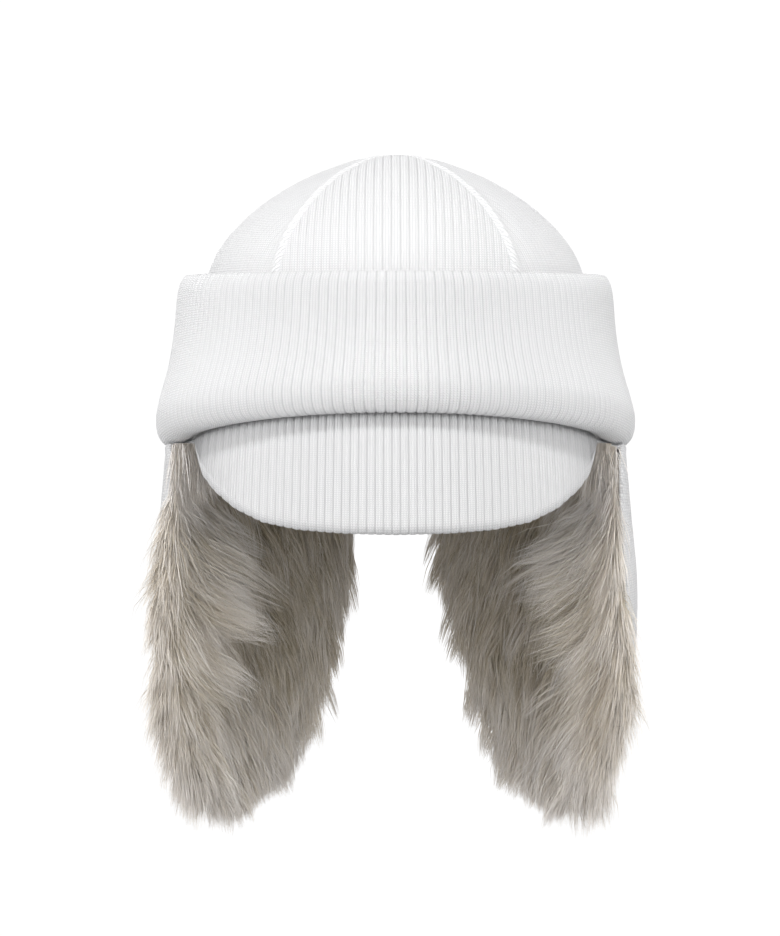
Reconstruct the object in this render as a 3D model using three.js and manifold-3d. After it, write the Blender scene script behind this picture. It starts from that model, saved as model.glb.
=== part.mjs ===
// A ribbed knit beanie with a turned-up cuff, a soft peak and two long earflaps lined with deep fur.
// Millimetres, +Z up, the wearer faces -Y. The origin is the inside top of the crown, where it
// bears on the head, and the flaps hang about 300 mm below it.
import * as THREE from "three";
import Module from "manifold-3d";

// Driving dimensions.
const KNIT_WALL = 3; // crown, peak skin and flap shells are one layer of heavy rib knit
const PIECE_GAP = 0.4; // room between sewn pieces, so that each stays its own solid
const RIB_PITCH = 3.8; // width of one rib of the crown
const RIB_DEPTH = 0.8; // ridge to groove
const CUFF_RIBS = 150; // ribs round the whole knit tube
const CROWN_TOP = KNIT_WALL; // the origin is on the inner side of the wall
const APEX_BEHIND_CENTRE = 5; // the crown peaks a little behind the middle of the head opening

// The ellipse of the crown's outer side at its rim, which the cuff, peak and flaps are sewn to.
const RIM = { halfWidth: 89.5, halfDepth: 107 };

// The cuff's folded lower edge sits at one level round the sides and arches up over the peak.
const FOLD = { sideZ: -127.5, frontRise: 18.2, backDrop: 2, archPower: 1.05 };
const CUFF_TOP_Z = -51.2;
const CUFF_DEPTH_SHARE = 0.8; // the cuff stands out less at front and back than at the sides
const CUFF_ROOT_RISE = 14; // the crown's rim meets the cuff this far above the fold
const SMOOTH_SEGMENTS = 36; // round the hidden sides, which carry no ribs

// The crown's seams, by degrees round from the front, and its outer sections from the top down.
const SEAMS_DEG = [-36.5, 36.5, 97, 150, 210, 263];
const CROWN_SECTIONS = [
  { z: 1.2, halfWidth: 16.2, halfDepth: 18.7, shiftY: 4.8 },
  { z: -3.5, halfWidth: 30.3, halfDepth: 35.4, shiftY: 4.4 },
  { z: -10, halfWidth: 44.2, halfDepth: 52, shiftY: 3.6 },
  { z: -20, halfWidth: 59.6, halfDepth: 70.8, shiftY: 2.5 },
  { z: -34, halfWidth: 73.8, halfDepth: 88.5, shiftY: 1.2 },
  { z: -56, halfWidth: 84.8, halfDepth: 102.2, shiftY: 0 },
  { z: -80, halfWidth: 88, halfDepth: 105.5, shiftY: 0 },
];

// The cuff's section, outer side first and upwards, then back down its inner side. "share" places a
// row between the fold (0) and the top rim (1), "rise" adds to that, and "out" is from the RIM ellipse.
const CUFF_SECTION = [
  { out: 12.5, share: 0, rise: 1.2, ribbed: false },
  { out: 17.5, share: 0, rise: 8.5, ribbed: true },
  { out: 9.3, share: 0.63, rise: 0, ribbed: true },
  { out: 6.2, share: 1, rise: -3.5, ribbed: true },
  { out: 4.2, share: 1, rise: 0, ribbed: false },
  { out: 2.4, share: 1, rise: -3, ribbed: false },
  { out: 4.8, share: 0.6, rise: 0, ribbed: false },
  { out: 12.6, share: 0, rise: 14, ribbed: false },
  { out: 8.5, share: 0, rise: 5.5, ribbed: false },
  { out: 0, share: 0, rise: 9, ribbed: false },
  { out: 0, share: 0, rise: CUFF_ROOT_RISE, ribbed: false },
  { out: -3, share: 0, rise: CUFF_ROOT_RISE, ribbed: false },
  { out: -1.5, share: 0, rise: 4.5, ribbed: false },
  { out: 6, share: 0, rise: 0, ribbed: false },
];

// The peak: where its outer edge lies, for each distance across from the middle.
const PEAK = {
  halfWidth: 88,
  thickness: 5.5,
  ribPitch: 3.4,
  rootOut: { x: 1, y: -1 }, // from the RIM ellipse
  rootRise: 1.6, // its upper side starts this far above the fold, behind it
  frontY: -152,
  outlinePower: 2.2,
  bend: 1.15, // above 1 it curves downwards towards the edge
  edgeInset: 2.4,
};
const PEAK_EDGE = [
  { x: 0, z: -156.6 },
  { x: 22, z: -156.1 },
  { x: 40, z: -154.9 },
  { x: 55, z: -152.3 },
  { x: 67, z: -147 },
  { x: 76.5, z: -139.8 },
  { x: 83, z: -132.5 },
  { x: 88, z: -122.5 },
];

// One flap's outer side, from below the cuff down to its rounded tip: the ellipse that it follows at
// each level, and the degrees round from the front where its front and back edges lie. The first
// row's level is the one at the sides; elsewhere it rises and falls with the cuff's fold.
const FLAP_SECTIONS = [
  { z: -133.7, halfWidth: 103, halfDepth: 114.5, frontDeg: 77, backDeg: 167, alongFold: true },
  { z: -160, halfWidth: 105.5, halfDepth: 114, frontDeg: 71.5, backDeg: 167 },
  { z: -188, halfWidth: 108, halfDepth: 111.5, frontDeg: 70, backDeg: 165.5 },
  { z: -216, halfWidth: 107.5, halfDepth: 107, frontDeg: 71, backDeg: 162 },
  { z: -239, halfWidth: 104.5, halfDepth: 102.5, frontDeg: 74.5, backDeg: 157 },
  { z: -256, halfWidth: 100.5, halfDepth: 98.5, frontDeg: 80, backDeg: 151 },
  { z: -269, halfWidth: 96.5, halfDepth: 95, frontDeg: 88, backDeg: 143.5 },
  { z: -277, halfWidth: 93.5, halfDepth: 92, frontDeg: 97, backDeg: 134.5 },
  { z: -281, halfWidth: 91.5, halfDepth: 90.5, frontDeg: 106, backDeg: 124 },
];
const FLAP = { columns: 9, wall: 2.8 };

// The shoulder that a shell makes under the fold, out from the RIM ellipse. "rise" is from the fold,
// and "inward" and "down" are the way through the wall.
const SHOULDER = [
  { out: -0.5, rise: 1.4, inward: 0.35, down: 0.94 },
  { out: 8.8, rise: -1.8, inward: 0.1, down: 1 },
  { out: 13.2, rise: -1.4, inward: 0.8, down: 0.8 },
];
const SHOULDER_DEPTH_SHARE = 0.56; // it stands out less at the back than at the sides

// The fur: a backing on the inner side of each shell, and locks that hang from it in rows. "lift" is
// how far a lock's tip stands in towards the head; the front edge's locks curl outwards instead.
const FUR = {
  backing: 5,
  lockWidth: 21,
  lockThick: 9,
  frontLean: 0.19, // radians that a lock at the flap's front edge leans out past it
  backLean: 0.06,
  endShare: 0.03, // where a row's first and last locks are rooted
};
const LOCK_ROWS = [
  { z: -138.5, count: 6, length: 46, lift: 9, frontLift: -11 },
  { z: -166, count: 7, length: 50, lift: 13, frontLift: -13 },
  { z: -197, count: 7, length: 52, lift: 14, frontLift: -14 },
  { z: -228, count: 6, length: 50, lift: 12, frontLift: -10 },
  { z: -258, count: 6, length: 44, lift: 0, frontLift: -5 },
];

const rad = THREE.MathUtils.degToRad;
const mix = THREE.MathUtils.lerp;

// The fold's level at an angle round from the front, in radians.
function foldZ(angle) {
  const c = Math.cos(angle);
  if (c > 0) return FOLD.sideZ + FOLD.frontRise * c ** FOLD.archPower;
  return FOLD.sideZ + FOLD.backDrop * c;
}

function onEllipse(halfWidth, halfDepth, angle, z, shiftY = 0) {
  return new THREE.Vector3(
    halfWidth * Math.sin(angle),
    shiftY - halfDepth * Math.cos(angle),
    z,
  );
}

// The outward direction, level, of an ellipse at an angle.
function outward(halfWidth, halfDepth, angle) {
  return new THREE.Vector3(
    halfDepth * Math.sin(angle),
    -halfWidth * Math.cos(angle),
    0,
  ).normalize();
}

function tableValue(rows, key, at, column) {
  const next = rows.findIndex((row) => row[key] >= at);
  if (next < 0) return rows[rows.length - 1][column];
  if (next === 0) return rows[0][column];
  const [low, high] = [rows[next - 1], rows[next]];
  return mix(
    low[column],
    high[column],
    (at - low[key]) / (high[key] - low[key]),
  );
}

// A surface made of rows of points. Each row is a list of { index, at }, where "at" grows along it.
class Skin {
  constructor() {
    this.points = [];
    this.triangles = [];
  }

  point(position, at = 0) {
    this.points.push(position);
    return { index: this.points.length - 1, at };
  }

  triangle(a, b, c) {
    if (a.index === b.index || b.index === c.index || c.index === a.index)
      return;
    this.triangles.push(a.index, b.index, c.index);
  }

  // Joins two rows with any numbers of points, taking the nearer next point each time. A turned
  // strip has the same triangles facing the other way.
  zip(lower, upper, turned = false) {
    const add = (a, b, c) =>
      turned ? this.triangle(c, b, a) : this.triangle(a, b, c);
    let i = 0;
    let j = 0;
    while (i < lower.length - 1 || j < upper.length - 1) {
      const nextLower = i < lower.length - 1 ? lower[i + 1].at : Infinity;
      const nextUpper = j < upper.length - 1 ? upper[j + 1].at : Infinity;
      if (nextLower <= nextUpper) {
        add(lower[i], lower[i + 1], upper[j]);
        i += 1;
      } else {
        add(lower[i], upper[j + 1], upper[j]);
        j += 1;
      }
    }
  }

  // Joins rows that run all the way round; the last row joins the first where the section closes.
  zipRings(rings, sectionCloses) {
    const round = rings.map((ring) => [
      ...ring,
      { index: ring[0].index, at: ring[0].at + 1 },
    ]);
    for (let k = 0; k + 1 < round.length; k += 1)
      this.zip(round[k], round[k + 1]);
    if (sectionCloses) this.zip(round[round.length - 1], round[0]);
  }

  geometry() {
    const made = new THREE.BufferGeometry();
    const flat = this.points.flatMap((p) => [p.x, p.y, p.z]);
    made.setAttribute("position", new THREE.Float32BufferAttribute(flat, 3));
    made.setIndex(this.triangles);
    return made;
  }
}

// A ring of points at even angles. place(angle) gives each point.
function evenRing(skin, count, place) {
  return Array.from({ length: count }, (_, k) =>
    skin.point(place((2 * Math.PI * k) / count), k / count),
  );
}

// The crown's gores: each has its middle angle and half angle, and its ribs run level with its middle.
const GORES = SEAMS_DEG.map((from, k) => {
  const to = k + 1 < SEAMS_DEG.length ? SEAMS_DEG[k + 1] : SEAMS_DEG[0] + 360;
  return { middle: rad((from + to) / 2), half: rad((to - from) / 2) };
});

// A ribbed ring of the crown. A rib keeps its distance from the gore's middle all the way up, so it
// ends where the seam cuts it off.
function goreRing(skin, section) {
  const ring = [];
  GORES.forEach(({ middle, half }) => {
    const reach = Math.hypot(
      section.halfWidth * Math.cos(middle),
      section.halfDepth * Math.sin(middle),
    );
    const seamAt = reach * half;
    const columns = Math.ceil(seamAt / (RIB_PITCH / 2)) - 1;
    const offsets = [-seamAt];
    for (let k = -columns; k <= columns; k += 1)
      offsets.push((k * RIB_PITCH) / 2);
    offsets.forEach((offset, n) => {
      const onSeam = n === 0;
      const inGroove = onSeam || Math.abs(n - 1 - columns) % 2 === 1;
      const angle = middle + offset / reach;
      const p = onEllipse(
        section.halfWidth,
        section.halfDepth,
        angle,
        section.z,
        section.shiftY,
      );
      if (inGroove)
        p.addScaledVector(
          outward(section.halfWidth, section.halfDepth, angle),
          -RIB_DEPTH,
        );
      ring.push({ ...skin.point(p), gore: middle, offset });
    });
  });
  return ring;
}

// Joins two ribbed rings gore by gore, so that each rib meets the same rib.
function zipGores(skin, lower, upper) {
  GORES.forEach(({ middle }, k) => {
    const nextMiddle = GORES[(k + 1) % GORES.length].middle;
    const rows = [lower, upper].map((ring) => {
      const own = ring.filter((p) => p.gore === middle);
      const after = ring.find((p) => p.gore === nextMiddle);
      const points = own.map((p) => ({ index: p.index, at: p.offset }));
      points.push({ index: after.index, at: -own[0].offset });
      return points;
    });
    skin.zip(rows[0], rows[1]);
  });
}

function makeCrown() {
  const skin = new Skin();
  const segments = SMOOTH_SEGMENTS;
  const last = CROWN_SECTIONS[CROWN_SECTIONS.length - 1];
  const rimZ = (angle) => foldZ(angle) + CUFF_ROOT_RISE + PIECE_GAP;
  const startsAt = rad(SEAMS_DEG[0]);
  const smooth = (place) =>
    evenRing(skin, segments, (turn) => place(turn + startsAt));
  const rimOuter = smooth((t) =>
    onEllipse(RIM.halfWidth, RIM.halfDepth, t, rimZ(t)),
  );
  const hidden = smooth((t) =>
    onEllipse(last.halfWidth, last.halfDepth, t, last.z),
  );
  const ribbed = CROWN_SECTIONS.slice(0, -1)
    .reverse()
    .map((section) => goreRing(skin, section));
  skin.zipRings([rimOuter, hidden], false);

  // From the plain band to the lowest ribbed ring, by how far round each point is.
  const turnOf = (p) => {
    const { x, y } = skin.points[p.index];
    const turn = Math.atan2(x / last.halfWidth, -y / last.halfDepth) - startsAt;
    return THREE.MathUtils.euclideanModulo(turn / (2 * Math.PI) + 1e-6, 1);
  };
  const lowest = ribbed[0].map((p) => ({ index: p.index, at: turnOf(p) }));
  skin.zipRings([hidden, lowest], false);
  for (let k = 0; k + 1 < ribbed.length; k += 1)
    zipGores(skin, ribbed[k], ribbed[k + 1]);

  const apex = (z) =>
    skin.point(new THREE.Vector3(0, APEX_BEHIND_CENTRE, z), 0);
  const outerTop = apex(CROWN_TOP);
  const around = ribbed[ribbed.length - 1];
  around.forEach((p, k) =>
    skin.triangle(p, around[(k + 1) % around.length], outerTop),
  );

  // The inner side follows the same sections, one wall further in.
  const innerTop = apex(CROWN_TOP - KNIT_WALL);
  const inner = CROWN_SECTIONS.map((section, k) => {
    const above = k > 0 ? CROWN_SECTIONS[k - 1] : { z: CROWN_TOP, halfWidth: 0 };
    const slope = Math.atan2(
      section.halfWidth - above.halfWidth,
      above.z - section.z,
    );
    const inwards = KNIT_WALL * Math.cos(slope);
    const down = KNIT_WALL * Math.sin(slope);
    return smooth((t) =>
      onEllipse(
        section.halfWidth - inwards,
        section.halfDepth - inwards,
        t,
        section.z - down,
        section.shiftY,
      ),
    );
  });
  const rimInner = smooth((t) =>
    onEllipse(RIM.halfWidth - KNIT_WALL, RIM.halfDepth - KNIT_WALL, t, rimZ(t)),
  );
  inner[0].forEach((p, k) =>
    skin.triangle(innerTop, inner[0][(k + 1) % segments], p),
  );
  skin.zipRings([...inner, rimInner, rimOuter], false);
  return skin.geometry();
}

function makeCuff() {
  const skin = new Skin();
  const rings = CUFF_SECTION.map((row) => {
    const count = row.ribbed ? 2 * CUFF_RIBS : SMOOTH_SEGMENTS;
    return evenRing(skin, count, (turn) => {
      const low = foldZ(turn);
      const z = mix(low, CUFF_TOP_Z, row.share) + row.rise;
      const p = onEllipse(
        RIM.halfWidth + row.out,
        RIM.halfDepth + row.out * CUFF_DEPTH_SHARE,
        turn,
        z,
      );
      const column = Math.round((turn / (2 * Math.PI)) * count);
      if (row.ribbed && column % 2 === 1)
        p.addScaledVector(
          outward(RIM.halfWidth, RIM.halfDepth, turn),
          -RIB_DEPTH,
        );
      return p;
    });
  });
  skin.zipRings(rings, true);
  return skin.geometry();
}

// The peak's upper side at a distance across and a share of the way from its root to its edge.
function peakPoint(x, share) {
  const a = RIM.halfWidth + PEAK.rootOut.x;
  const b = RIM.halfDepth + PEAK.rootOut.y;
  const rootY = -b * Math.sqrt(1 - (x / a) ** 2);
  const cornerY = -b * Math.sqrt(1 - (PEAK.halfWidth / a) ** 2);
  const across = Math.min(1, Math.abs(x) / PEAK.halfWidth);
  const reach =
    (1 - across ** PEAK.outlinePower) ** (1 / PEAK.outlinePower) *
    (PEAK.frontY - cornerY);
  const rootZ = foldZ(Math.asin(x / a)) + PEAK.rootRise;
  const edgeZ = tableValue(PEAK_EDGE, "x", Math.abs(x), "z");
  return new THREE.Vector3(
    x,
    mix(rootY, cornerY + reach, share),
    mix(rootZ, edgeZ, share ** PEAK.bend),
  );
}

// The direction square to the peak's upper side, away from its underside.
function peakNormal(x, share) {
  const step = 0.02;
  const back = peakPoint(x, Math.max(0, share - step));
  const ahead = peakPoint(x, Math.min(1, share + step));
  const along = ahead.sub(back);
  if (along.length() < 1e-6) return new THREE.Vector3(0, 0, 1);
  return new THREE.Vector3(0, along.z, -along.y).normalize();
}

function makePeak() {
  const skin = new Skin();
  const w = PEAK.halfWidth;
  const corners = [-w, w].map((x) => skin.point(peakPoint(x, 0), x));
  const half = PEAK.ribPitch / 2;
  const columns = Math.floor((w - 0.5) / half);
  const ribbedXs = Array.from(
    { length: 2 * columns + 1 },
    (_, k) => (k - columns) * half,
  );
  const plainXs = ribbedXs.filter((_, k) => (k - columns) % 4 === 0);
  const row = (xs, share, depth, ribbed) => {
    const middle = xs.map((x) => {
      const groove =
        ribbed && Math.round(Math.abs(x / half)) % 2 === 1 ? RIB_DEPTH : 0;
      const p = peakPoint(x, share);
      // It thins to nothing at its two corners.
      const full = Math.min(1, (w - Math.abs(x)) / 6);
      p.addScaledVector(peakNormal(x, share), -(depth + groove) * full);
      return skin.point(p, x);
    });
    return [corners[0], ...middle, corners[1]];
  };
  const t = PEAK.thickness;
  const rows = [
    row(ribbedXs, 0, 0, true),
    row(ribbedXs, 0.55, 0, true),
    row(ribbedXs, 0.95, 0.6, true),
    row(ribbedXs, 1, PEAK.edgeInset, true),
    row(plainXs, 0.95, t - 0.4, false),
    row(plainXs, 0.5, t, false),
    row(plainXs, 0, t, false),
  ];
  for (let k = 0; k < rows.length; k += 1)
    skin.zip(rows[(k + 1) % rows.length], rows[k]);
  return skin.geometry();
}

// The flap's outer side at a row of FLAP_SECTIONS and a share of the way from front edge to back.
function flapAngle(section, share) {
  return rad(mix(section.frontDeg, section.backDeg, share));
}

function flapSection(z) {
  const rows = [...FLAP_SECTIONS].reverse();
  const made = { z };
  ["halfWidth", "halfDepth", "frontDeg", "backDeg"].forEach((column) => {
    made[column] = tableValue(rows, "z", z, column);
  });
  return made;
}

// The shell's shoulder, as sections above the first of FLAP_SECTIONS.
const SHOULDER_SECTIONS = SHOULDER.map(({ out, rise, inward, down }) => ({
  ...FLAP_SECTIONS[0],
  z: FOLD.sideZ + rise,
  halfWidth: RIM.halfWidth + out,
  halfDepth: RIM.halfDepth + out * SHOULDER_DEPTH_SHARE,
  inward,
  down,
}));

// A sheet from "inset" to "inset + thick" inside the flap's outer side, and "grown" past its edges.
// side is 1 for the flap at +X and -1 for its mirror. Only a rooted one has the shoulder.
function flapSheet({ side, inset, thick, grown, rooted }) {
  const skin = new Skin();
  const last = FLAP_SECTIONS[FLAP_SECTIONS.length - 1];
  const below = grown > 0 ? [{ ...last, z: last.z - grown }] : [];
  const above = rooted ? SHOULDER_SECTIONS : [];
  const sections = [...above, ...FLAP_SECTIONS, ...below];
  const grid = (depth) =>
    sections.map((section) =>
      Array.from({ length: FLAP.columns + 1 }, (_, k) => {
        const past = (2 * k) / FLAP.columns - 1;
        const angle =
          flapAngle(section, k / FLAP.columns) +
          (past * grown) / section.halfWidth;
        const { halfWidth, halfDepth, inward = 1, down = 0 } = section;
        const lift = section.alongFold ? foldZ(angle) - FOLD.sideZ : 0;
        const p = onEllipse(halfWidth, halfDepth, angle, section.z + lift);
        p.addScaledVector(outward(halfWidth, halfDepth, angle), -depth * inward);
        p.z -= depth * down;
        p.x *= side;
        return skin.point(p, k);
      }),
    );
  const outer = grid(inset);
  const inner = grid(inset + thick);
  const n = outer.length - 1;
  for (let r = 0; r < n; r += 1) {
    skin.zip(outer[r + 1], outer[r]);
    skin.zip(inner[r + 1], inner[r], true);
  }
  skin.zip(outer[0], inner[0]);
  skin.zip(inner[n], outer[n]);
  const edge = (rows, k) =>
    rows.map((row, r) => ({ index: row[k].index, at: r }));
  skin.zip(edge(inner, 0), edge(outer, 0));
  skin.zip(edge(outer, FLAP.columns), edge(inner, FLAP.columns));
  return skin.geometry();
}

// One lock of fur: a flat spindle that starts inside the backing, hugs the flap on its way down and
// ends in a fine tip. The stations give its share of the length, width, thickness and lift.
const LOCK_STATIONS = [
  { along: -0.06, wide: 0.55, thick: 0.5, rise: 0 },
  { along: 0.45, wide: 1, thick: 1, rise: 0.75 },
  { along: 1, wide: 0, thick: 0, rise: 1 },
];

function lockGeometry({ angle, lean, z, length, lift, width, side }) {
  const skin = new Skin();
  const inset = FLAP.wall + PIECE_GAP;
  const rings = LOCK_STATIONS.map(({ along, wide, thick, rise }) => {
    const level = z - along * length;
    const section = flapSection(level);
    const turned = angle + along * lean;
    const out = outward(section.halfWidth, section.halfDepth, turned);
    const sideways = new THREE.Vector3(-out.y, out.x, 0);
    const depth = inset + FUR.backing * 0.6 + rise * lift;
    const corner = (s, o) => {
      const p = onEllipse(section.halfWidth, section.halfDepth, turned, level)
        .addScaledVector(sideways, (s * wide * width) / 2)
        .addScaledVector(out, (o * thick * FUR.lockThick) / 2 - depth);
      p.x *= side;
      return skin.point(p);
    };
    if (wide === 0) return [corner(0, 0)];
    return [corner(1, 0), corner(0, 1), corner(-1, 0), corner(0, -1)];
  });
  const [root, belly, tip] = rings;
  for (let k = 0; k < 4; k += 1) {
    const m = (k + 1) % 4;
    skin.triangle(root[k], root[m], belly[m]);
    skin.triangle(root[k], belly[m], belly[k]);
    skin.triangle(belly[k], belly[m], tip[0]);
  }
  skin.triangle(root[2], root[1], root[0]);
  skin.triangle(root[3], root[2], root[0]);
  return skin.geometry();
}

const wasm = await Module();
wasm.setup();

// A closed geometry as a solid, turned the right way out.
function solidOf(geometry) {
  const triVerts = new Uint32Array(geometry.index.array);
  const vertProperties = geometry.attributes.position.array;
  const made = new wasm.Manifold(
    new wasm.Mesh({ numProp: 3, vertProperties, triVerts }),
  );
  if (made.volume() > 0) return made;
  const turned = triVerts.map((_, n) => triVerts[n - (n % 3) + (2 - (n % 3))]);
  return new wasm.Manifold(
    new wasm.Mesh({ numProp: 3, vertProperties, triVerts: turned }),
  );
}

function geometryOf(solid) {
  const mesh = solid.getMesh();
  const made = new THREE.BufferGeometry();
  made.setAttribute(
    "position",
    new THREE.Float32BufferAttribute(mesh.vertProperties, mesh.numProp),
  );
  made.setIndex(Array.from(mesh.triVerts));
  return made;
}

// The fur of one flap: its backing with every lock fused to it, kept clear of the shell.
function makeFur(side) {
  const backing = solidOf(
    flapSheet({
      side,
      inset: FLAP.wall + PIECE_GAP,
      thick: FUR.backing,
      grown: 0,
      rooted: false,
    }),
  );
  const keptClear = solidOf(
    flapSheet({
      side,
      inset: -FUR.lockThick,
      thick: FUR.lockThick + FLAP.wall + 1.5 * PIECE_GAP,
      grown: 4 * PIECE_GAP,
      rooted: true,
    }),
  );
  const locks = LOCK_ROWS.flatMap((row) => {
    const section = flapSection(row.z);
    return Array.from({ length: row.count }, (_, k) => {
      const evenly = k / (row.count - 1);
      const share = mix(FUR.endShare, 1 - FUR.endShare, evenly);
      const fromMiddle = 2 * share - 1;
      return solidOf(
        lockGeometry({
          side,
          angle: flapAngle(section, share),
          lean: fromMiddle * (k === 0 ? FUR.frontLean : FUR.backLean),
          z: row.z,
          length: row.length,
          lift: k === 0 ? row.frontLift : row.lift,
          width: FUR.lockWidth * (1 - 0.25 * Math.abs(fromMiddle)),
        }),
      );
    });
  });
  const trimmed = wasm.Manifold.union(locks).subtract(keptClear);
  const pieces = backing.add(trimmed).decompose();
  pieces.sort((p, q) => q.volume() - p.volume());
  return geometryOf(pieces[0]);
}

const knitWhite = new THREE.MeshStandardMaterial({
  color: 0xf2f2f3,
  roughness: 0.9,
  metalness: 0,
});
const furGrey = new THREE.MeshStandardMaterial({
  color: 0xaaa298,
  roughness: 0.8,
  metalness: 0,
});

// Left and right are the wearer's: the wearer faces -Y, so their left flap is at +X.
const SIDES = [
  { name: "left", side: 1 },
  { name: "right", side: -1 },
];

const beanie = new THREE.Group();
const aboutTheRim = new THREE.Group(); // its own origin is above the middle of the head opening
aboutTheRim.position.y = -APEX_BEHIND_CENTRE;
beanie.add(aboutTheRim);

function addPiece(name, geometry, material) {
  const mesh = new THREE.Mesh(
    geometryOf(solidOf(geometry)),
    material.clone(),
  );
  mesh.geometry.computeVertexNormals();
  mesh.name = name;
  aboutTheRim.add(mesh);
}

addPiece("crown", makeCrown(), knitWhite);
addPiece("cuff", makeCuff(), knitWhite);
addPiece("peak", makePeak(), knitWhite);
SIDES.forEach(({ name, side }) => {
  const shell = { side, inset: 0, thick: FLAP.wall, grown: 0, rooted: true };
  addPiece(`${name}_flap_shell`, flapSheet(shell), knitWhite);
  addPiece(`${name}_flap_fur`, makeFur(side), furGrey);
});

export default beanie;
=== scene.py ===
"""The looks of the earflap beanie: white rib knit with a turned-up cuff and a soft peak, and two
long flaps lined with deep grey-beige fur. Lengths are millimetres about the middle of the head
opening, and angles go round from the front towards the wearer's left."""

import math
from types import SimpleNamespace

import bpy
import numpy as np
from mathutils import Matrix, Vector


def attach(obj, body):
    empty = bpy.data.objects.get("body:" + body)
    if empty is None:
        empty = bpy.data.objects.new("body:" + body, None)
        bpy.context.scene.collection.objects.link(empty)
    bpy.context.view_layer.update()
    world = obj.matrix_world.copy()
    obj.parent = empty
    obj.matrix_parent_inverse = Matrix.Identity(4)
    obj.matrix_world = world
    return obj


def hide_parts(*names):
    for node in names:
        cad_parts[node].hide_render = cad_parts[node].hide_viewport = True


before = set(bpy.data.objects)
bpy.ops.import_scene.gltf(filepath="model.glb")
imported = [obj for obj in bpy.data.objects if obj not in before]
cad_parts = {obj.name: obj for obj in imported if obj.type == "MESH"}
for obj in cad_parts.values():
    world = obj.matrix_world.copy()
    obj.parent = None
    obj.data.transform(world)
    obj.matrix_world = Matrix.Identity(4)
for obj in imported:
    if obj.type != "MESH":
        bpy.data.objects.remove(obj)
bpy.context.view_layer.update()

MM = 0.001
BEHIND_CENTRE = 5.0  # the origin is this far behind the middle of the head opening

# The named sizes of the part's source.
KNIT_WALL = 3.0
CUFF_RIBS = 150
RIB_PITCH = 3.8
PEAK_PITCH = 3.4
RIM_HALF_WIDTH, RIM_HALF_DEPTH = 89.5, 107.0
FOLD_SIDE_Z, FOLD_FRONT_RISE, FOLD_BACK_DROP, FOLD_POWER = -127.5, 18.2, 2.0, 1.05
CUFF_TOP_Z = -51.2
CUFF_DEPTH_SHARE = 0.8
SEAMS_DEG = (-36.5, 36.5, 97, 150, 210, 263)

# The crown's outer profile, from beyond its top (mirrored, so that the top is level) to its rim.
CROWN_PROFILE = np.array(
    [
        # half width, z
        (-16.0, 1.2),
        (0.0, 3.0),
        (16.0, 1.2),
        (29.8, -3.3),
        (40.5, -7.8),
        (48.8, -12.3),
        (56.2, -17.0),
        (62.0, -21.4),
        (67.0, -25.8),
        (71.8, -30.6),
        (76.0, -35.6),
        (79.5, -41.0),
        (82.3, -47.0),
        (84.8, -55.0),
        (87.0, -67.0),
        (88.6, -86.0),
        (89.5, -106.0),
    ]
)

# The cuff's section as a closed loop, from the crown's rim down, round the fold, up the outside,
# over the lip and down inside. A row lies "out" from the rim's ellipse, at a share of the way from
# the fold to the top, and "rise" above that.
CUFF_SECTION = np.array(
    [
        # out, share, rise
        (-2.7, 0.00, 13.6),
        (-2.4, 0.00, 9.0),
        (-0.6, 0.00, 4.2),
        (3.0, 0.00, 1.0),
        (8.0, 0.00, -0.8),
        (12.6, 0.00, 0.2),
        (15.7, 0.00, 3.0),
        (17.1, 0.00, 7.0),
        (17.3, 0.05, 8.2),
        (16.7, 0.15, 5.0),
        (15.2, 0.27, 2.4),
        (13.0, 0.39, 0.8),
        (11.1, 0.51, 0.0),
        (9.6, 0.63, 0.0),
        (8.6, 0.75, 0.0),
        (7.9, 0.86, 0.0),
        (7.0, 0.93, 0.0),
        (5.6, 1.00, -1.9),
        (3.9, 1.00, 0.0),
        (2.3, 1.00, -1.6),
        (2.1, 0.95, 0.0),
        (3.4, 0.80, 0.0),
        (5.4, 0.58, 0.0),
        (9.0, 0.34, 2.0),
        (12.2, 0.10, 9.0),
        (11.6, 0.00, 8.4),
        (8.6, 0.00, 4.8),
        (4.6, 0.00, 4.6),
        (1.6, 0.00, 7.6),
        (0.4, 0.00, 13.0),
        (-1.2, 0.00, 14.4),
    ]
)

PEAK_HALF_WIDTH = 88.0
PEAK_THICK = 5.5
PEAK_FRONT_Y = -152.0
PEAK_OUTLINE_POWER = 2.2
PEAK_BEND = 1.15
PEAK_ROOT_RISE = 1.6
PEAK_EDGE = np.array(
    [
        # distance across, z of the edge
        (0.0, -156.6),
        (22.0, -156.1),
        (40.0, -154.9),
        (55.0, -152.3),
        (67.0, -147.0),
        (76.5, -139.8),
        (83.0, -132.5),
        (88.0, -122.5),
    ]
)

FLAP_SECTIONS = np.array(
    [
        # z, half width, half depth, front edge and back edge in degrees round from the front
        (-133.7, 103.0, 114.5, 77.0, 167.0),
        (-160.0, 105.5, 114.0, 71.5, 167.0),
        (-188.0, 108.0, 111.5, 70.0, 165.5),
        (-216.0, 107.5, 107.0, 71.0, 162.0),
        (-239.0, 104.5, 102.5, 74.5, 157.0),
        (-256.0, 100.5, 98.5, 80.0, 151.0),
        (-269.0, 96.5, 95.0, 88.0, 143.5),
        (-277.0, 93.5, 92.0, 97.0, 134.5),
        (-281.0, 91.5, 90.5, 106.0, 124.0),
    ]
)
FLAP_WALL = 2.8
FUR_GAP = 0.4

# The shoulder that a flap's shell makes under the fold, above the first of those sections.
SHOULDER = np.array(
    [
        # out from the rim's ellipse, rise from the fold, inward and down: the way through the wall
        (-0.5, 1.4, 0.35, 0.94),
        (8.8, -1.8, 0.10, 1.00),
        (13.2, -1.4, 0.80, 0.80),
    ]
)
SHOULDER_DEPTH_SHARE = 0.56


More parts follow.
